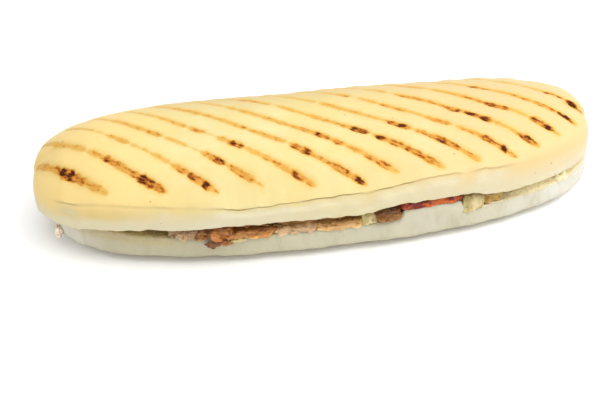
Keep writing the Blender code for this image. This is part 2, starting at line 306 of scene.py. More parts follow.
def rings_to_mesh(name, grid, masks):
    """Turn a grid of rings into a closed mesh: quads between rings and a fan at each pole."""
    rings, around = grid.shape[:2]
    places = np.concatenate([grid[0, :1], grid[1:-1].reshape(-1, 3), grid[-1, :1]]) * MM
    step = np.arange(around)
    turn = (step + 1) % around
    starts = 1 + np.arange(rings - 3)[:, None] * around
    quads = np.stack([starts + step, starts + around + step, starts + around + turn,
                      starts + turn], -1).reshape(-1, 4)
    last = 1 + (rings - 3) * around
    first_fan = np.stack([np.zeros(around, int), 1 + step, 1 + turn], -1)
    last_fan = np.stack([last + step, np.full(around, len(places) - 1), last + turn], -1)
    mesh = bpy.data.meshes.new(name)
    mesh.from_pydata(places, [], [*quads.tolist(), *first_fan.tolist(), *last_fan.tolist()])
    mesh.shade_smooth()
    mesh.validate()
    for mask_name, mask in masks.items():
        layer = mesh.attributes.new(mask_name, "FLOAT", "POINT")
        values = np.concatenate([mask[0, :1], mask[1:-1].ravel(), mask[-1, :1]])
        layer.data.foreach_set("value", values.astype(np.float32))
    return mesh


def add_object(name, data):
    """Put a new object with this data in the scene."""
    thing = bpy.data.objects.new(name, data)
    bpy.context.scene.collection.objects.link(thing)
    return thing


def add_piece(name, grid, masks, material, nodes):
    """Add a finished piece that rides on the roll and stands for the nodes it replaces."""
    thing = add_object(name, rings_to_mesh(name, grid, masks))
    thing.data.materials.append(material)
    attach(thing, "root")
    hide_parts(*nodes)


# How much light reaches what faces up, and what faces the front
STUDIO = 1.5
SIDE_LIGHT = 1.4

# Colours as seen: a grill mark from gold to char, the top half's side and the bottom half from
# left to right. The bottom half's ramp is its own tone with painted shade on its left part and
# painted light at its left tip and right end
BURN_COLOURS = ((0, (252, 214, 126)), (0.2, (247, 195, 96)), (0.38, (232, 158, 60)),
                (0.6, (190, 110, 32)), (0.82, (130, 66, 16)), (1, (84, 36, 4)))
SIDE_COLOURS = ((0, (240, 228, 186)), (0.25, (239, 228, 193)), (0.55, (240, 226, 179)),
                (1, (242, 227, 189)))
PALE_COLOURS_AND_LIGHT = ((0, (254, 250, 238)), (0.05, (210, 203, 173)), (0.2, (204, 196, 163)),
                (0.4, (218, 213, 180)), (0.9, (229, 224, 200)), (1, (244, 244, 234)))
GREY = (0.5, 0.5, 0.5, 1)
BRIGHTEST = 0.92


def colour(red, green, blue, light=1):
    """A colour as seen under this much light, from 0 to 255, made linear."""
    seen = np.array([red, green, blue]) / 255
    linear = np.where(seen <= 0.04045, seen / 12.92, ((seen + 0.055) / 1.055) ** 2.4)
    return (*np.minimum(linear / light, BRIGHTEST).tolist(), 1)


class Nodes:
    """Short ways to lay and link shader nodes in a tree."""

    def __init__(self, tree):
        self.tree = tree
        self.column = 0

    def add(self, kind, inputs=None, **settings):
        node = self.tree.nodes.new(kind)
        node.location = (self.column, 0)
        self.column += 180
        for key, value in settings.items():
            setattr(node, key, value)
        for key, value in (inputs or {}).items():
            self.feed(node.inputs[key], value)
        return node

    def feed(self, socket, value):
        """Link a socket to a value that is a socket itself, or else set it."""
        if isinstance(value, bpy.types.NodeSocket):
            self.tree.links.new(value, socket)
        else:
            socket.default_value = value

    def math(self, operation, first, second=0, third=0, clamp=False):
        node = self.add("ShaderNodeMath", operation=operation, use_clamp=clamp)
        for socket, value in zip(node.inputs, (first, second, third)):
            self.feed(socket, value)
        return node.outputs[0]

    def times(self, first, second, clamp=False):
        return self.math("MULTIPLY", first, second, clamp=clamp)

    def times_plus(self, first, second, third):
        return self.math("MULTIPLY_ADD", first, second, third)

    def less(self, first, second):
        return self.math("SUBTRACT", first, second)

    def rest_of(self, value, clamp=False):
        """1 minus the value."""
        return self.math("SUBTRACT", 1, value, clamp=clamp)

    def mix(self, share, first, second):
        node = self.add("ShaderNodeMix", data_type="RGBA")
        self.feed(node.inputs["Factor"], share)
        self.feed(node.inputs["A"], first)
        self.feed(node.inputs["B"], second)
        return node.outputs["Result"]

    def tint(self, under, mask, share, over):
        """Lay a colour over another where a mask is, at a share of its strength."""
        return self.mix(self.times(mask, share), under, over)

    def ramp(self, share, stops, light):
        """Colours as seen that follow one another along a share from 0 to 1."""
        node = self.add("ShaderNodeValToRGB", {"Fac": share})
        elements = node.color_ramp.elements
        while len(elements) < len(stops):
            elements.new(0.5)
        for element, (position, shade) in zip(elements, stops):
            element.position = position
            element.color = colour(*shade, light)
        return node.outputs["Color"]

    def step(self, value, start, end):
        """0 at start, 1 at end, and a smooth S between them."""
        node = self.add("ShaderNodeMapRange", interpolation_type="SMOOTHSTEP")
        self.feed(node.inputs["Value"], value)
        self.feed(node.inputs["From Min"], start)
        self.feed(node.inputs["From Max"], end)
        return node.outputs["Result"]

    def noise(self, where, per_mm, detail=3, roughness=0.55):
        node = self.add("ShaderNodeTexNoise", {"Vector": where, "Scale": per_mm,
                                               "Detail": detail, "Roughness": roughness})
        return node.outputs["Fac"]

    def cells(self, where, per_mm):
        """Distance to the nearest of many scattered points."""
        node = self.add("ShaderNodeTexVoronoi", {"Vector": where, "Scale": per_mm}, feature="F1")
        return node.outputs["Distance"]

    def mask(self, name):
        return self.add("ShaderNodeAttribute", attribute_name=name).outputs["Fac"]

    def places(self, stretch=(1, 1, 1)):
        """Object coordinates in millimetres, stretched for fibres."""
        source = self.add("ShaderNodeTexCoord").outputs["Object"]
        size = tuple(share / MM for share in stretch)
        return self.add("ShaderNodeMapping", {"Vector": source, "Scale": size}).outputs[0]

    def turned(self, where, angle, stretch=(1, 1, 1)):
        """Places on axes turned about Z, with the pattern drawn out along them."""
        return self.add("ShaderNodeMapping", {"Vector": where, "Rotation": (0, 0, angle),
                                              "Scale": stretch}, vector_type="TEXTURE").outputs[0]

    def bump(self, height, distance):
        return self.add("ShaderNodeBump", {"Height": height, "Distance": distance * MM}).outputs[0]


def new_material(name, **shader_values):
    """A material with its Principled shader set to uniform values."""
    material = bpy.data.materials.new(name)
    material.use_nodes = True
    shader = material.node_tree.nodes["Principled BSDF"]
    for key, value in shader_values.items():
        shader.inputs[key.replace("_", " ")].default_value = value
    return material, Nodes(material.node_tree), shader.inputs


def new_group(name, inputs, outputs):
    """A node group with these defaults; its output Color is a colour, the others numbers."""
    tree = bpy.data.node_groups.new(name, "ShaderNodeTree")
    for key, default in inputs.items():
        kind = "NodeSocketColor" if isinstance(default, tuple) else "NodeSocketFloat"
        socket = tree.interface.new_socket(key, in_out="INPUT", socket_type=kind)
        socket.default_value = default
    for key in outputs:
        kind = "NodeSocketColor" if key == "Color" else "NodeSocketFloat"
        tree.interface.new_socket(key, in_out="OUTPUT", socket_type=kind)
    nodes = Nodes(tree)
    given = nodes.add("NodeGroupInput").outputs
    return tree, nodes, given, nodes.add("NodeGroupOutput").inputs


def use_group(nodes, tree, **values):
    """The outputs of a node group that is used with these inputs."""
    node = nodes.add("ShaderNodeGroup", node_tree=tree)
    for key, value in values.items():
        nodes.feed(node.inputs[key.replace("_", " ")], value)
    return node.outputs


def along_group():
    """0 at the left end of the roll and 1 at its right end."""
    tree, nodes, _, put = new_group("along_the_roll", {}, ["Share"])
    split = nodes.add("ShaderNodeSeparateXYZ", {0: nodes.places()})
    nodes.feed(put["Share"], nodes.step(split.outputs["X"], -HALF_LENGTH, HALF_LENGTH))
    return tree


def crumb_group():
    """Torn crumb: two sizes of pores, as a height and as painted shade in their hollows."""
    tree, nodes, given, put = new_group("torn_crumb", {"Pore Size": 1.6}, ["Height", "Pore Shade"])
    where = nodes.places()
    scale = nodes.math("DIVIDE", 1, given["Pore Size"])
    large = nodes.step(nodes.cells(where, scale), 0.1, 0.62)
    small = nodes.noise(where, 1.9, 4, 0.7)
    nodes.feed(put["Height"], nodes.times_plus(large, 0.7, small))
    nodes.feed(put["Pore Shade"], nodes.rest_of(large, clamp=True))
    return tree


def flour_group():
    """Flour that stays on a crust: a soft patchy cover with fine grains."""
    tree, nodes, given, put = new_group("flour", {"Cover": 0.5}, ["Amount", "Height"])
    where = nodes.places()
    patches = nodes.noise(where, 0.09, 3, 0.6)
    grains = nodes.noise(where, 2.6, 2, 0.6)
    low = nodes.less(0.95, given["Cover"])
    cover = nodes.times_plus(grains, 0.45, patches)
    nodes.feed(put["Amount"], nodes.step(cover, low, nodes.math("ADD", low, 0.45)))
    nodes.feed(put["Height"], grains)
    return tree


def scorch_group():
    """Grill marks: a golden line with brown streaks in it that run along the mark.

    The burn is the inside of the nearest line times a pale base plus streaks, whose share of the
    line and whose depth both grow with the darkness. The toast is a golden glow around the line.
    """
    tree, nodes, given, put = new_group(
        "scorch", {"Darkness": 0, "Half Width": 2, "Sideways": 0}, ["Burn", "Toast"])
    darkness = given["Darkness"]
    width = given["Half Width"]
    where = nodes.places()
    across = nodes.add("ShaderNodeSeparateXYZ", {0: nodes.turned(where, -MARK_ANGLE)}).outputs["Y"]
    ragged = nodes.less(nodes.noise(where, 0.4, 3, 0.6), 0.5)
    moved = nodes.less(nodes.times_plus(ragged, 1.8, across), given["Sideways"])
    turns = nodes.math("DIVIDE", nodes.less(moved, MARK_FIRST), MARK_PITCH)
    offset = nodes.less(turns, nodes.math("ROUND", turns))
    distance = nodes.times(nodes.math("ABSOLUTE", offset), MARK_PITCH)
    inside = nodes.rest_of(nodes.step(distance, nodes.less(width, 1.1), nodes.math("ADD", width, 0.7)))

    streaks = nodes.noise(nodes.turned(where, -MARK_ANGLE, (2.1, 1, 1)), 0.62, 3, 0.55)
    from_edge = nodes.math("ABSOLUTE", nodes.less(distance, nodes.times(width, 0.7)))
    edge = nodes.rest_of(nodes.step(from_edge, 0, 1.1))
    low = nodes.times_plus(darkness, -0.2, 0.58)
    spot = nodes.step(nodes.times_plus(edge, 0.03, streaks), low, nodes.math("ADD", low, 0.26))
    charred = nodes.math("MAXIMUM", nodes.less(darkness, 0.85), 0)
    base = nodes.math("ADD", nodes.times_plus(darkness, 0.33, 0.1), charred)
    body = nodes.times_plus(spot, nodes.times_plus(darkness, 0.56, 0.06), base)
    body = nodes.times(body, nodes.times(darkness, 7, clamp=True))
    nodes.feed(put["Burn"], nodes.times(body, inside, clamp=True))
    glow = nodes.rest_of(nodes.step(distance, 0.6, nodes.math("ADD", width, 2.8)))
    nodes.feed(put["Toast"], nodes.times(glow, nodes.times(darkness, 2.4, clamp=True)))
    return tree


def meat_group():
    """Cooked meat: streaks along X, painted shade up under the lip and painted light at the lower rim,
    wet in patches.
    """
    tree, nodes, given, put = new_group("cooked_meat",
        {"Dark": GREY, "Middle": GREY, "Light": GREY, "Climb": 0, "Rim": 0, "Fineness": 1,
         "Wetness": 0.3}, ["Color", "Height", "Coat", "Roughness"])
    per_mm = nodes.times(given["Fineness"], 0.5)
    streak = nodes.noise(nodes.places((0.22, 0.6, 1.5)), per_mm, 4, 0.65)
    lumps = nodes.noise(nodes.places(), 0.5, 3, 0.6)
    shade = nodes.mix(nodes.step(streak, 0.32, 0.5), given["Dark"], given["Middle"])
    shade = nodes.mix(nodes.step(streak, 0.52, 0.7), shade, given["Light"])
    # Painted shade up under the lip, then painted light at the lower rim
    shade = nodes.tint(shade, given["Climb"], 0.75, given["Dark"])
    nodes.feed(put["Color"], nodes.tint(shade, given["Rim"], 0.4, given["Light"]))
    nodes.feed(put["Height"], nodes.times_plus(lumps, 0.8, streak))
    wet = nodes.step(nodes.noise(nodes.places(), 0.35, 2), 0.42, 0.6)
    nodes.feed(put["Coat"], nodes.times(wet, given["Wetness"]))
    nodes.feed(put["Roughness"], nodes.times_plus(wet, -0.15, 0.5))
    return tree


def soft_group():
    """Melted cheese, cream or pepper: two close shades in clouds, a painted highlight right of the
    middle and painted shade up under the lip.
    """
    tree, nodes, given, put = new_group("soft_filling",
        {"Base": GREY, "Tint": GREY, "Under Lip": GREY, "Climb": 0, "Heart": 0}, ["Color", "Height"])
    where = nodes.places()
    # A painted highlight right of the middle, in the tint
    cloud = nodes.times_plus(given["Heart"], 0.3, nodes.noise(where, 0.3, 3, 0.6))
    shade = nodes.mix(nodes.step(cloud, 0.5, 0.72), given["Base"], given["Tint"])
    # Painted shade up under the lip
    nodes.feed(put["Color"], nodes.tint(shade, given["Climb"], 0.8, given["Under Lip"]))
    nodes.feed(put["Height"], nodes.times_plus(nodes.noise(where, 0.9, 2), 0.4, cloud))
    return tree


def crust_material(along, crumb, flour, scorch):
    """The top half: pale golden satin crust, grill marks, pinholes, floury side, crumb below."""
    material, nodes, put = new_material("grilled_crust", Roughness=0.5, Specular_IOR_Level=0.1,
                                        Subsurface_Weight=0.12, Subsurface_Scale=0.004)
    where = nodes.places()
    right = use_group(nodes, along)["Share"]
    on_side = nodes.mask("side")
    on_crumb = nodes.mask("crumb")
    cloud = nodes.noise(where, 0.035, 3, 0.6)
    fine = nodes.noise(where, 0.35, 4, 0.6)
    crown = nodes.mix(nodes.step(cloud, 0.35, 0.68), colour(253, 233, 160, STUDIO),
                      colour(255, 242, 180, STUDIO))
    # Golden tone on the far side, a front strip and the right of the crown: partly toast, partly
    # painted shade on the far and front crown
    crown = nodes.mix(nodes.mask("toasted"), crown, colour(246, 212, 138, STUDIO))
    crown = nodes.mix(nodes.step(right, 0.22, 0.04), crown, colour(252, 222, 148, 1.3))
    crown = nodes.tint(crown, nodes.step(right, 0.5, 1), 0.85, colour(255, 224, 164, STUDIO))
    side = nodes.ramp(right, SIDE_COLOURS, SIDE_LIGHT)
    side = nodes.tint(side, nodes.step(fine, 0.35, 0.7), 0.2, colour(246, 238, 204, SIDE_LIGHT))
    mottle = nodes.step(nodes.noise(nodes.places((0.4, 0.4, 1)), 0.22, 4, 0.62), 0.5, 0.66)
    side = nodes.tint(side, mottle, 0.4, colour(248, 240, 210, SIDE_LIGHT))
    side = nodes.tint(side, nodes.mask("gold"), 0.85, colour(232, 204, 132, SIDE_LIGHT))
    skin = nodes.mix(on_side, crown, side)
    dusting = use_group(nodes, flour, Cover=nodes.times(on_side, 0.42))
    skin = nodes.tint(skin, dusting["Amount"], 0.3, colour(244, 236, 204, SIDE_LIGHT))

    marks = use_group(nodes, scorch, Darkness=nodes.mask("darkness"),
                      Half_Width=nodes.mask("half_width"), Sideways=nodes.mask("sideways"))
    burn = marks["Burn"]
    skin = nodes.tint(skin, marks["Toast"], 0.85, colour(253, 214, 126, STUDIO))
    skin = nodes.mix(nodes.step(burn, 0, 0.16), skin, nodes.ramp(burn, BURN_COLOURS, STUDIO))
    hole = nodes.rest_of(nodes.step(nodes.cells(where, 0.16), 0.05, 0.1))
    hole = nodes.times(hole, nodes.step(nodes.noise(where, 0.06, 1), 0.5, 0.62))
    skin = nodes.tint(skin, hole, 0.5, colour(160, 116, 66))

    torn = use_group(nodes, crumb, Pore_Size=1.7)
    # Painted shade in the hollows of the pores
    inside = nodes.mix(torn["Pore Shade"], colour(236, 222, 170), colour(220, 200, 140))
    # Painted shade: the crumb is darker and more olive toward the left, in the shaded gap between the
    # halves
    inside = nodes.mix(right, nodes.mix(0.5, inside, colour(200, 182, 118)), inside)
    skin = nodes.mix(on_crumb, skin, inside)
    # Painted shade in the crease
    skin = nodes.tint(skin, nodes.mask("crease"), 0.85, colour(150, 122, 62))
    nodes.feed(put["Base Color"], skin)
    rough = nodes.times_plus(burn, 0.2, nodes.times_plus(on_side, 0.2, 0.42))
    nodes.feed(put["Roughness"], nodes.math("ADD", rough, nodes.times(on_crumb, 0.3), clamp=True))
    pores = nodes.times(torn["Height"], on_crumb)
    height = nodes.times_plus(fine, 0.5, nodes.times(pores, 1.2))
    height = nodes.less(height, nodes.times(hole, 0.5))
    height = nodes.less(height, nodes.times(burn, 0.5))
    nodes.feed(put["Normal"], nodes.bump(height, 0.28))
    return material


def pale_material(along, crumb, flour):
    """The bottom half: matte, floury, greyish cream, with crumb at its cut edge and painted shade and
    light along the roll.
    """
    material, nodes, put = new_material("floury_crust", Roughness=0.8, Specular_IOR_Level=0.25,
                                        Subsurface_Weight=0.1, Subsurface_Scale=0.003)
    where = nodes.places()
    right = use_group(nodes, along)["Share"]
    on_crumb = nodes.mask("crumb")
    cloud = nodes.step(nodes.noise(where, 0.05, 3, 0.6), 0.4, 0.65)
    mottle = nodes.step(nodes.noise(nodes.places((1, 1, 0.4)), 0.09, 4, 0.65), 0.5, 0.66)
    # Painted shade toward the left and painted light at the left tip and right end, over the crust's
    # own tone
    skin = nodes.ramp(right, PALE_COLOURS_AND_LIGHT, SIDE_LIGHT)
    skin = nodes.tint(skin, cloud, 0.3, colour(214, 206, 180, SIDE_LIGHT))
    skin = nodes.tint(skin, mottle, 0.4, colour(184, 174, 132, SIDE_LIGHT))
    skin = nodes.mix(nodes.mask("sole"), skin, colour(232, 208, 148))
    dusting = use_group(nodes, flour, Cover=0.5)
    # More flour toward the right end: real flour, and painted light that whitens the right
    skin = nodes.tint(skin, dusting["Amount"], nodes.times_plus(right, 0.4, 0.1),
                      colour(232, 226, 200, SIDE_LIGHT))
    torn = use_group(nodes, crumb, Pore_Size=1.5)
    # Painted shade in the hollows of the pores
    inside = nodes.mix(torn["Pore Shade"], colour(240, 230, 192), colour(226, 210, 158))
    # Painted shade: the crumb is darker and more olive toward the left, in the shaded gap between the
    # halves and on the band below the lip
    inside = nodes.mix(right, nodes.mix(0.8, inside, colour(156, 136, 80)), inside)
    nodes.feed(put["Base Color"], nodes.mix(on_crumb, skin, inside))
    pores = nodes.times(torn["Height"], on_crumb)
    height = nodes.times_plus(dusting["Height"], 0.3, pores)
    height = nodes.times_plus(nodes.noise(where, 0.4, 4, 0.6), 0.9, height)
    nodes.feed(put["Normal"], nodes.bump(height, 0.3))
    return material


# Meats: dark, middle and light streaks, wetness and fineness of the fibres
MEATS = {
    "tan_meat": ((116, 70, 28), (186, 124, 60), (238, 186, 114)),
    "pale_tan_meat": ((134, 92, 46), (206, 160, 96), (240, 206, 148)),
    "brown_meat": ((80, 44, 14), (136, 86, 36), (204, 148, 82)),
    "flap_meat": ((60, 32, 6), (116, 70, 22), (190, 140, 72)),
    "shreds": ((126, 92, 62), (178, 146, 108), (220, 190, 152), 0.3, 1.8),
    "pink_meat": ((148, 108, 70), (206, 168, 122), (242, 216, 178)),
    "ham": ((116, 88, 34), (174, 142, 70), (218, 178, 106)),
    "dark_meat": ((66, 38, 12), (108, 66, 28), (156, 108, 56)),
    "pale_scrap": ((216, 176, 142), (246, 232, 208), (252, 246, 228)),
    "orange_sauce": ((104, 60, 22), (164, 102, 44), (226, 150, 80), 0.6),
}
# Soft filling: base, tint for the clouds and the painted highlight, painted shade under the lip,
# roughness and relief
SOFT_FILLING = {
    "red_pepper": ((124, 32, 14), (208, 102, 36), (76, 18, 6), 0.35, 0.3),
    "cheese": ((186, 170, 116), (210, 194, 146), (136, 110, 58), 0.5, 0.4),
    "cream": ((194, 178, 124), (212, 196, 148), (150, 126, 76), 0.6, 0.5),
}


def meat_material(name, meat, dark, middle, light, wetness=0.3, fineness=1):
    """Meat in three shades with wet patches, raised along its fibres."""
    material, nodes, put = new_material(name, Subsurface_Weight=0.15, Subsurface_Scale=0.002,
                                        Subsurface_Radius=(1, 0.35, 0.2), Coat_Roughness=0.2,
                                        Specular_IOR_Level=0.3)
    look = use_group(nodes, meat, Dark=colour(*dark), Middle=colour(*middle),
                     Light=colour(*light), Climb=nodes.mask("climb"), Rim=nodes.mask("rim"),
                     Fineness=fineness, Wetness=wetness)
    for key, output in ("Base Color", "Color"), ("Coat Weight", "Coat"), ("Roughness", "Roughness"):
        nodes.feed(put[key], look[output])
    nodes.feed(put["Normal"], nodes.bump(look["Height"], 0.5))
    return material


def soft_material(name, soft, base, tint, under_lip, roughness, relief):
    """Smooth soft filling with a thin even coat."""
    material, nodes, put = new_material(name, Roughness=roughness, Subsurface_Weight=0.3,
                                        Subsurface_Scale=0.003, Coat_Weight=0.2,
                                        Coat_Roughness=0.15, Specular_IOR_Level=0.3)
    look = use_group(nodes, soft, Base=colour(*base), Tint=colour(*tint),
                     Under_Lip=colour(*under_lip), Climb=nodes.mask("climb"), Heart=nodes.mask("highlight_spot"))
    nodes.feed(put["Base Color"], look["Color"])
    nodes.feed(put["Normal"], nodes.bump(look["Height"], relief))
    return material


def make_materials():
    """Every material by the name of its look."""
    along, crumb, flour, scorch = along_group(), crumb_group(), flour_group(), scorch_group()
    meat, soft = meat_group(), soft_group()
    materials = {"crust": crust_material(along, crumb, flour, scorch),
                 "pale_crust": pale_material(along, crumb, flour)}
    for name, look in MEATS.items():
        materials[name] = meat_material(name, meat, *look)
    for name, look in SOFT_FILLING.items():
        materials[name] = soft_material(name, soft, *look)
    return materials


# Grill marks from left to right, each with its stretches along the mark as (start, end, darkness
# in percent) and how far it strays sideways as (place along the mark, offset)
MARKS = [
    ([(-108, -86, 42), (-88, -80, 70), (-83, -74, 100), (-75, -67, 75), (-68, -58, 50),
      (-58, -54, 30)], [(-104, 3.4), (-90, 1.2), (-80, 0.1), (-52, -0.6)]),
    ([(-114, -96, 25), (-96, -78, 35), (-74, -66, 45), (-66, -62, 85), (-62, -49, 55),
      (-50, -46, 75), (-46, -36, 100), (-37, -31, 70)],
     [(-110, 2.4), (-96, 0.6), (-80, 0), (-62, 0.1), (-52, -0.5), (-40, -0.2), (-31, -0.1)]),
    ([(-104, -84, 16), (-74, -62, 40), (-60, -48, 14), (-48, -38, 24), (-35, -27, 65),
      (-27, -19, 78), (-19, -15, 95), (-15, -11, 40)], [(-100, 0.8), (-60, 0.2), (-15, -0.3)]),
    ([(-98, -82, 15), (-82, -62, 34), (-61, -53, 55), (-50, -37, 20), (-28, -24, 45),
      (-24, -16, 85), (-14, 0, 58), (0, 5, 20)], [(-70, 0), (-14, 0.3), (0, 0.1)]),
    ([(-86, -64, 15), (-64, -48, 32), (-45, -37, 48), (-28, -23, 42), (-23, -15, 88),
      (-13, -4, 26), (-4, 2, 40), (2, 6, 72), (6, 12, 50), (12, 19, 72), (19, 24, 50)],
     [(-60, -0.1), (-18, 0.2), (24, 0)]),
    ([(-80, -66, 20), (-66, -49, 44), (-48, -38, 32), (-38, -26, 34), (-26, -22, 55),
      (-21, 0, 40), (4, 9, 76), (9, 15, 86), (15, 25, 55), (25, 36, 68), (36, 42, 98)],
     [(-60, -0.4), (-40, 0.3), (5, 0.1), (42, 0.3)]),
    ([(-74, -44, 18), (-43, -37, 32), (-36, -5, 36), (-5, 8, 48), (8, 16, 90),
      (18, 23, 90), (26, 34, 45), (34, 48, 62), (48, 52, 30)], [(-40, -0.1), (12, 0.3), (50, 0.1)]),
    ([(-62, -46, 20), (-46, -26, 40), (-20, -5, 30), (-5, 14, 38), (14, 20, 55),
      (20, 29, 90), (33, 40, 85), (40, 48, 68), (48, 64, 80), (64, 68, 55)],
     [(-40, -0.3), (0, 0), (25, 0.3), (45, 0.6), (67, 0)]),
    ([(-50, -14, 16), (-15, -8, 30), (-4, 18, 40), (20, 32, 30), (33, 44, 85),
      (48, 54, 62), (54, 70, 80), (70, 79, 56)], [(-10, 0), (40, 0.2), (60, 0.9), (79, 0.5)]),
    ([(-36, -12, 15), (-12, -4, 24), (-3, 4, 50), (10, 20, 30), (22, 36, 50), (36, 45, 24),
      (46, 58, 68), (63, 73, 52), (73, 80, 84), (80, 83, 65), (83, 88, 100), (88, 92, 65)],
     [(0, 0), (50, -0.2), (66, 0.3), (78, 0.8), (92, 0.6)]),
    ([(-20, 4, 15), (5, 18, 30), (23, 34, 62), (34, 50, 54), (50, 58, 78), (60, 74, 95),
      (74, 78, 35), (78, 87, 40), (87, 97, 88)],
     [(30, 0), (45, 0.4), (54, -0.6), (66, -0.2), (80, 0.3), (96, 0.5)]),
    ([(-6, 14, 15), (15, 31, 40), (36, 56, 46), (56, 64, 62), (64, 77, 84), (77, 86, 35),
      (88, 102, 85)], [(20, 0.2), (50, 0.2), (68, -0.7), (84, 0), (100, 0.5)]),
    ([(14, 32, 15), (32, 48, 22), (50, 59, 70), (59, 72, 36), (72, 83, 58), (84, 96, 60),
      (96, 105, 100)], [(50, 0.2), (66, -0.2), (80, -0.8), (92, 0), (102, 0.8)]),
    ([(40, 58, 15), (58, 72, 20), (72, 84, 32), (84, 94, 66), (94, 106, 90)],
     [(60, 0.4), (80, -0.2), (90, 0.4), (104, 2.4)]),
]


def stretch_share(along, start, end, lead_in, lead_out):
    """1 along a stretch, rising and falling from so far before to so far after each end."""
    rise = ease(along, start - lead_in[0], start + lead_in[1])
    return rise * (1 - ease(along, end - lead_out[0], end + lead_out[1]))


def mark_masks(x, y, inset):
    """Darkness, sideways offset and half width of the grill marks at each point of the crown.

    Each stretch fades just past its ends. A mark keeps a faint line between its stretches, widens
    where it is darker and tapers towards its own two ends.
    """
    across = x * sin(MARK_ANGLE) + y * cos(MARK_ANGLE)
    along = x * cos(MARK_ANGLE) - y * sin(MARK_ANGLE)
    number = np.round((across - MARK_FIRST) / MARK_PITCH).astype(int)
    darkness = np.zeros_like(x)
    sideways = np.zeros_like(x)
    fullness = np.zeros_like(x)
    for mark, (stretches, offsets) in enumerate(MARKS):
        here = number == mark
        first, last = stretches[0][0], stretches[-1][1]
        taper = stretch_share(along, first, last, (1.5, 7), (4.5, 2.5))
        for start, end, tone in [(first, last, FAINT_LINE), *stretches]:
            reach = stretch_share(along, start, end, (3, 1.5), (1.5, 2))
            full = stretch_share(along, start, end, (3, 3), (3, 3)) * taper
            darkness = np.maximum(darkness, np.where(here, reach * (tone / 100), 0))
            fullness = np.maximum(fullness, np.where(here, full * (tone / 100), 0))
        sideways = np.where(here, np.interp(along, *zip(*offsets)), sideways)
    darkness *= 1 + 0.14 * np.sin(along * 0.9 + 2 * number)
    half_width = 0.7 + (1.45 - 0.035 * number) * np.sqrt(fullness)
    half_width += 0.2 * np.sin(along * 0.31 + number)
    return darkness * ease(inset, 2, 3.5), sideways, half_width


TOP_AROUND = 560
CROWN_RINGS = 100
RIM_RINGS = 16
BAND_RINGS = 20
CEILING_RINGS = 14
CEILING_INSET = 9.8
# The crease from top to bottom: depth of the cut, drop below its line, and how much painted shade lies
# in the crease
CREASE_PATH = ((0, 0, 0), (0.16, -0.1, 0.5), (0.62, -0.22, 1), (0.8, -0.36, 1),
               (0.3, -0.55, 0.6), (-0.2, -0.8, 0.1))
CREASE_FOOT = 0.8


def top_grid():
    """The top half. Rings shrink to a pole on the crown and under the arch.

    Outside the crown each ring is the oval set in by a distance, at a height that follows, in
    turn, the dome, the crease, the side band, the lip and the arched underside.
    """
    rings = Rings(HALF_LENGTH, HALF_WIDTH, 0, TOP_AROUND, ("side", "crumb", "gold", "crease"))
    for share in np.linspace(0, 1, CROWN_RINGS) ** 0.9:
        rings.add(CROWN_EDGE, share, lambda x, y: crown_height(x, y, inset_at(x, y)))
    for inset in np.linspace(CROWN_EDGE, RIM_INSET + 0.15, RIM_RINGS)[1:]:
        rings.add(inset, 1, lambda x, y: crown_height(x, y, inset))

    strength = crease_strength((HALF_LENGTH - RIM_INSET) * rings.across,
                               (HALF_WIDTH - RIM_INSET) * rings.deep)
    for depth, drop, dark in CREASE_PATH:
        cut = depth * strength if depth > 0 else depth
        rings.add(RIM_INSET + cut, 1, lambda x, y: crease_height(x, y) + drop,
                  side=0.35 * np.clip(strength * 2, 0, 1), crease=dark * np.clip(strength * 1.3, 0, 1))

    def band_height(x, y):
        return (crease_height(x, y) - CREASE_FOOT) * (1 - t) + (lip_height(x, y) + 0.5) * t

    def band_tone(x, y):
        cut = np.clip(crease_strength(x, y) * 2, 0, 1)
        sharp = 0.35 + 0.65 * ease(t, 0, 0.25)
        return cut * sharp + (1 - cut) * ease(t, 0, 0.9)

    def band_gold(x, y):
        gold = np.where(y < 0, bump_at(x, -100, 38), 0.2)
        return gold * (1 - ease(t, 0.35, 0.75))

    for t in np.linspace(0, 1, BAND_RINGS)[1:]:
        bulge = 1.3 * (1 - ease(t, 0, 0.45)) + 0.45 * ease(t, 0.6, 1)
        rings.add(bulge, 1, band_height, side=band_tone, gold=band_gold)
    rings.add(LIP_INSET - 0.2, 1, lambda x, y: lip_height(x, y) + 0.15, side=1, crumb=0.3)
    rings.add(LIP_INSET + 0.2, 1, lip_height, side=1, crumb=0.9)

    for inset in np.linspace(LIP_INSET + 0.8, CEILING_INSET, CEILING_RINGS):
        rings.add(inset, 1, ceiling_height, side=1, crumb=1)
    for share in np.linspace(1, 0, 11)[1:]:
        rings.add(CEILING_INSET, share, ceiling_height, side=1, crumb=1)
    return rings.stacked()


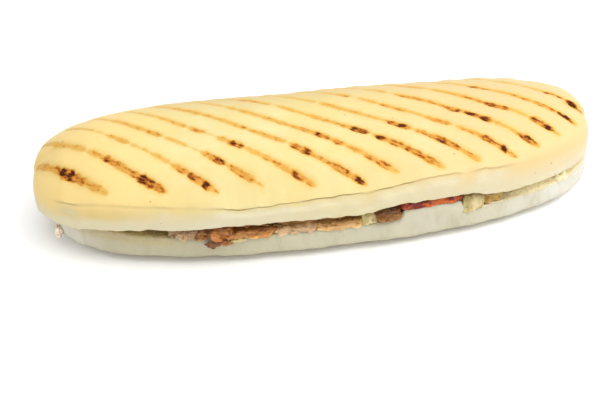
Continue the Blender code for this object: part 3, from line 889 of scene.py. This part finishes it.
def make_top(material):
    """The top half, pushed out along its normal by a swell, the marks' grooves, dents and pores."""
    grid, masks = top_grid()
    x = grid[..., 0]
    y = grid[..., 1]
    inset = inset_at(x, unplace(x, y))
    darkness, sideways, half_width = mark_masks(x, y, inset)
    skin = 1 - masks["crumb"]
    crown = (1 - masks["side"]) * skin
    across = x * sin(MARK_ANGLE) + y * cos(MARK_ANGLE)
    turns = (across - sideways - MARK_FIRST) / MARK_PITCH
    line = np.abs(turns - np.round(turns)) * MARK_PITCH
    groove = crown * (1 - ease(line, half_width - 0.6, half_width + 1.2))
    groove *= np.clip(darkness * 1.5, 0, 1)
    swell = 0.22 * waves(grid, 46, 21) + 0.09 * waves(grid, 14, 22)
    relief = swell * crown + 0.18 * waves(grid, 11, 23) * masks["side"] * skin
    relief += 0.15 * waves(grid, 3.2, 24) * masks["crumb"] * ease(inset, 1.2, 3)
    grid = push_out(grid, relief - 0.4 * groove)
    healed = (1 - np.clip(crease_strength(x, unplace(x, y)) * 1.6, 0, 1)) ** 2
    healed = healed * (1 - ease(masks["side"], 0.97, 1))
    grid = smooth_rings(grid, healed * ease(inset, 12, 6) * skin, rounds=120)
    grid = np.clip(grid, TOP_LOW, TOP_HIGH)
    # Golden tone on the far side, a front strip and the right of the crown: partly toast, partly
    # painted shade on the far and front crown
    toasted = np.maximum(ease(y, 5, 44), 0.35 * ease(y, -22, -38))
    toasted = np.maximum(toasted, 0.65 * ease(x, 40, 110) * ease(inset, 4, 14))
    masks.update(darkness=darkness * crown, half_width=half_width, sideways=sideways, toasted=toasted)
    add_piece("top_crust", grid, masks, material, ["top_bread"])


BOTTOM_AROUND = 420
CUT_INSET = 9
EDGE_ROUNDING = 3.6
FOOT_HEIGHT = 7
# The foot as (inset, height), from the side down to the sole
FOOT = [(0.25, 5.8), (0.7, 4.7), (1.5, 3.9), (2.4, 3.2), (3.4, 2.5), (4.4, 1.75), (5.4, 1.1),
        (6.2, 0.6), (6.9, 0.2), (7.4, 0)]
FOOT_INSET = FOOT[-1][0]


def bottom_grid():
    """The bottom half. Rings of the oval pass from a pole on the cut face over its edge, a quarter
    turn of a circle, down the side and along the foot to a pole under the sole."""
    rings = Rings(BOTTOM_HALF_LENGTH, BOTTOM_HALF_WIDTH, BOTTOM_SHIFT, BOTTOM_AROUND,
                  ("crumb", "sole"))
    left = -rings.across
    # Painted shade below the lip at the left: the crumb's darker colour is laid over the edge and the
    # top of the side there
    left_shade = 0.6 * ease(left, 0.46, 0.6) * (1 - ease(left, 0.8, 0.95))
    for share in np.linspace(0, 1, 22):
        rings.add(CUT_INSET, share, floor_height, crumb=1)
    for inset in np.linspace(CUT_INSET, EDGE_INSET, 14)[1:]:
        crumb = np.maximum(ease(inset, 0.8, 2.2), left_shade)
        rings.add(inset, 1, floor_height, crumb=crumb)
    for turn in np.linspace(0, pi / 2, 9)[1:]:
        rings.add(EDGE_INSET - 1.2 * sin(turn), 1,
                  lambda x, y: edge_height(x, y) - EDGE_ROUNDING * (1 - cos(turn)), crumb=left_shade)
    for t in np.linspace(0, 1, 10)[1:]:
        rings.add(0.1 * (1 - t), 1,
                  lambda x, y: (edge_height(x, y) - EDGE_ROUNDING) * (1 - t) + FOOT_HEIGHT * t,
                  crumb=left_shade * (1 - t) ** 3)
    for inset, height in FOOT:
        rings.add(inset, 1, lambda x, y: np.full_like(x, height), sole=ease(inset, 5, FOOT_INSET))
    for share in np.linspace(1, 0, 14)[1:]:
        rings.add(FOOT_INSET, share, lambda x, y: np.zeros_like(x), sole=1)
    return rings.stacked()


def make_bottom(material):
    """The bottom half with waves pushed into its side and its crumb, but not into the sole."""
    grid, masks = bottom_grid()
    lift = ease(grid[..., 2], 0.3, 3)
    relief = 0.28 * waves(grid, 15, 31) + 0.12 * waves(grid, 5, 32) - 0.2
    relief = relief * (1 - masks["crumb"]) + 0.18 * waves(grid, 3, 33) * masks["crumb"]
    grid = np.clip(push_out(grid, relief * lift), BOTTOM_LOW, BOTTOM_HIGH)
    add_piece("bottom_crust", grid, masks, material, ["bottom_bread"])


BAR_AROUND = 72
BAR_RINGS = 110
BAR_OVERLAP = 1.2
# Where along its way a bar passes to the heights of its end
END_REACH = (0.78, 0.96)
# How much further in the top of a bar's end lies, and how far its foot sags
END_SLOPE = 2
END_SAG = 0.5


def bar_grid(node, front_inset, back_inset, front, back, seed, rough, ragged, squareness, shear):
    """A bar of filling that runs through the roll.

    Its rings go from the front pole to the back pole and crowd toward both blunt ends. Each is a
    slab with rounded sides that leans over its neighbour, whose lower and upper heights pass
    from the front pair to the node's box and on to the back pair.
    """
    low, high = node_box(node)
    middle = (low[0] + high[0]) / 2
    half_width = (high[0] - low[0]) / 2 + BAR_OVERLAP
    walk = np.linspace(-1, 1, BAR_RINGS)[:, None]
    lean = pi / 2 * np.sign(walk) * (1 - (1 - np.abs(walk)) ** 2.2)
    along = np.sign(walk) * np.abs(np.sin(lean)) ** 0.25
    end = np.maximum(np.cos(lean), 0) ** 0.12
    end[0] = end[-1] = 0
    turn = np.linspace(0, 2 * pi, BAR_AROUND, endpoint=False)[None, :]
    x = middle + half_width * end * np.cos(turn)
    swell = (1 - np.abs(np.cos(turn)) ** squareness) ** (1 / squareness)
    swell = swell * np.sign(np.sin(turn))
    near = ease(-along, *END_REACH)
    far = ease(along, *END_REACH)
    inside = (low[2] + 0.05, high[2] - 0.05)
    lower, upper = (front[k] * near + back[k] * far + inside[k] * (1 - near - far) for k in range(2))
    z = (lower + upper) / 2 + (upper - lower) / 2 * swell * end
    x = x + shear * (z - (lower + upper) / 2)
    face = np.stack([x, np.zeros_like(x), np.broadcast_to(z, x.shape)], -1)
    torn = ragged * waves(face, 5, seed) + 0.6 * ragged * waves(face, 2.2, seed + 1)
    climb = np.clip((z - lower) / (upper - lower), 0, 1)
    torn = torn + END_SLOPE * (climb - 0.35)
    inset = np.where(along < 0, front_inset, back_inset) + torn * np.abs(along) ** 6
    inset = np.maximum(inset, 0.3)
    reach = np.clip(np.abs(x) / (HALF_LENGTH - inset), 0, 0.999)
    depth = (HALF_WIDTH - inset) * (1 - reach ** SQUARENESS) ** (1 / SQUARENESS)
    y = np.broadcast_to(along, x.shape) * depth
    grid = np.stack([x, place(x, y), z - END_SAG * (1 - climb) * near], -1)
    # Masks: painted shade at the top of the bar, painted light at its lower rim and a painted highlight
    # right of its middle
    masks = {"climb": ease(climb, 0.55, 1), "rim": 1 - ease(climb, 0.15, 0.55),
             "highlight_spot": bump_at((x - middle) / half_width, 0.25, 0.6)}
    relief = rough * (0.6 * waves(grid * (0.35, 1, 1.6), 3.4, seed + 2)
                      + 0.4 * waves(grid, 1.7, seed + 3)) - 0.3 * rough
    return push_out(grid, relief * np.minimum(end * 1.5, 1)), masks


def lump_grid(middle, half_size, seed, rough=0.16, around=40, rings=28):
    """A rounded lump: a ball stretched to its size, with waves pushed into its surface."""
    fall = np.linspace(0, pi, rings)[:, None]
    turn = np.linspace(0, 2 * pi, around, endpoint=False)[None, :]
    ball = np.stack([np.sin(fall) * np.cos(turn), np.sin(fall) * np.sin(turn),
                     np.broadcast_to(np.cos(fall), (rings, around))], -1)
    dents = 1 + rough * waves(ball, 1.1, seed) + 0.5 * rough * waves(ball, 0.5, seed + 1)
    return np.array(middle) + ball * np.array(half_size) * dents[..., None]


# Filling: node, look, front and back insets, front and back heights, relief, raggedness,
# squareness of the section and lean
BARS = [
    ("meat_shred_1", "shreds", 3.4, 5, (16, 20.2), (16, 20.6), 0.5, 0.9, 4.5, 0.6),
    ("meat_shred_2", "shreds", 2, 3.6, (15.4, 20.9), (16.6, 21), 0.5, 0.9, 4, 0.9),
    ("meat_shred_3", "shreds", 2.8, 6, (15.2, 20.4), (15.8, 21.4), 0.5, 0.9, 4.5, 0.9),
    ("meat_shred_4", "brown_meat", 1.5, 4.2, (15, 21.2), (16.2, 20.2), 0.5, 0.9, 4, 0.6),
    ("sauced_piece", "orange_sauce", 0.9, 4, (14.8, 22), (15, 21.6), 0.55, 0.9, 3.2, -0.2),
    ("meat_slice_left", "tan_meat", 2.2, 3, (14.6, 18.4), (14.8, 18.2), 0.25, 0.7, 6, 0.7),
    ("meat_slice_middle", "pink_meat", 2.6, 4.4, (14.6, 18.3), (14.8, 18.2), 0.25, 0.7, 6, 0.7),
    ("meat_slice_right", "pale_tan_meat", 2, 5, (14.6, 18.3), (14.8, 18.2), 0.25, 0.7, 7, 0.3),
    ("meat_slice_top", "brown_meat", 5.5, 4, (18.5, 21.6), (18.6, 21.8), 0.25, 0.8, 5, 0),
    ("cream_piece", "cream", 3.2, 4.6, (14.6, 21.2), (14.8, 21), 0.25, 0.7, 7, 0),
    ("meat_flap", "flap_meat", 0.6, 2.6, (16, 23.2), (14.8, 22.4), 0.4, 0.9, 4, -0.3),
    ("red_pepper_piece", "red_pepper", 2.2, 3, (20.2, 23.5), (16, 22.4), 0.25, 0.5, 5, 0),
    ("melted_cheese", "cheese", 1.2, 2.4, (13.4, 22.2), (14.8, 21.2), 0.3, 0.9, 8, 0.1),
    ("ham_piece", "ham", 3.8, 5, (14.2, 19.2), (15, 20.2), 0.3, 0.9, 6, 0.2),
]
# Scraps: node, look and size against the node's box
SCRAPS = [("dark_scrap", "dark_meat", 1.2), ("cheese_scrap", "cream", 1.2),
          ("sauce_scrap", "orange_sauce", 1.2), ("end_scrap", "pale_scrap", 0.95)]
# Tufts of crumb between the halves: middle and half size
TUFTS = [((115.5, -22, 14.6), (3, 1.8, 3.9)), ((-99, 37.6, 14.8), (3.4, 1.8, 3.6))]


def make_filling(materials):
    """The bars through the roll, the scraps on its side and the tufts of crumb."""
    for number, (node, look, front_inset, back_inset, front, back, *form) in enumerate(BARS):
        grid, masks = bar_grid(node, front_inset, back_inset, front, back, 100 + 10 * number, *form)
        add_piece(node + "_fine", grid, masks, materials[look], [node])
    for number, (node, look, size) in enumerate(SCRAPS):
        low, high = node_box(node)
        grid = lump_grid((low + high) / 2, (high - low) / 2 * size, 300 + 10 * number)
        add_piece(node + "_fine", grid, {}, materials[look], [node])
    for number, (middle, half_size) in enumerate(TUFTS):
        grid = lump_grid(middle, half_size, 400 + 10 * number, rough=0.22)
        masks = {"crumb": np.ones(grid.shape[:2]), "sole": np.zeros(grid.shape[:2])}
        add_piece(f"crumb_tuft_{number + 1}", grid, masks, materials["pale_crust"],
                  ["bottom_bread"])


CAMERA_AZIMUTH = radians(-2.285)
CAMERA_ELEVATION = radians(36.126)
CAMERA_DISTANCE = 489.7
CAMERA_TARGET = Vector((-7.51, -0.86, 0))
CAMERA_ROLL = radians(-4.102)
CAMERA_LENS = 59.07
SENSOR = 36


def make_camera():
    """A camera at the photo's angle: turned about its target, then rolled."""
    data = bpy.data.cameras.new("camera")
    data.sensor_width = SENSOR
    data.lens = CAMERA_LENS
    data.clip_start = 0.01
    data.clip_end = 20
    camera = add_object("camera", data)
    level = cos(CAMERA_ELEVATION)
    back = Vector((sin(CAMERA_AZIMUTH) * level, -cos(CAMERA_AZIMUTH) * level, sin(CAMERA_ELEVATION)))
    spot = Matrix.Translation((CAMERA_TARGET + back * CAMERA_DISTANCE) * MM)
    turn = back.to_track_quat("Z", "Y").to_matrix().to_4x4()
    camera.matrix_world = spot @ turn @ Matrix.Rotation(CAMERA_ROLL, 4, "Z")
    bpy.context.scene.camera = camera


# Soft square lights: name, place, target, size, power and tint
LIGHTS = [("key", (480, -160, 520), (20, 0, 20), 500, 2.5, (1, 0.99, 0.97)),
          ("overhead", (60, -120, 700), (0, 0, 0), 700, 2.9, (1, 1, 1)),
          ("fill", (-330, -480, 170), (-80, 0, 10), 420, 0.25, (0.97, 0.98, 1))]
FLOOR_COLOUR = (0.97, 0.97, 0.975, 1)
FLOOR_REACH = 6
WHITE = (1, 1, 1, 1)
SURROUND_STRENGTH = 0.75


def add_light(name, middle, target, size, power, tint):
    """A square soft light that faces its target."""
    data = bpy.data.lights.new(name, "AREA")
    data.size = size * MM
    data.energy = power
    data.color = tint
    light = add_object(name, data)
    light.location = Vector(middle) * MM
    light.rotation_euler = (Vector(target) - Vector(middle)).to_track_quat("-Z", "Y").to_euler()


def make_stage():
    """A plain white floor and surround under soft studio light, brightest from the right."""
    reach = FLOOR_REACH
    mesh = bpy.data.meshes.new("floor")
    mesh.from_pydata([(-reach, -reach, 0), (reach, -reach, 0), (reach, reach, 0),
                      (-reach, reach, 0)], [], [(0, 1, 2, 3)])
    material, _, _ = new_material("floor", Base_Color=FLOOR_COLOUR, Roughness=0.9,
                                  Specular_IOR_Level=0.1)
    mesh.materials.append(material)
    add_object("floor", mesh)
    world = bpy.data.worlds.new("surround")
    world.use_nodes = True
    surround = world.node_tree.nodes["Background"].inputs
    surround["Color"].default_value = WHITE
    surround["Strength"].default_value = SURROUND_STRENGTH
    bpy.context.scene.world = world
    for light in LIGHTS:
        add_light(*light)
    bpy.context.scene.view_settings.view_transform = "Standard"


def main():
    materials = make_materials()
    make_top(materials["crust"])
    make_bottom(materials["pale_crust"])
    make_filling(materials)
    make_camera()
    make_stage()


main()
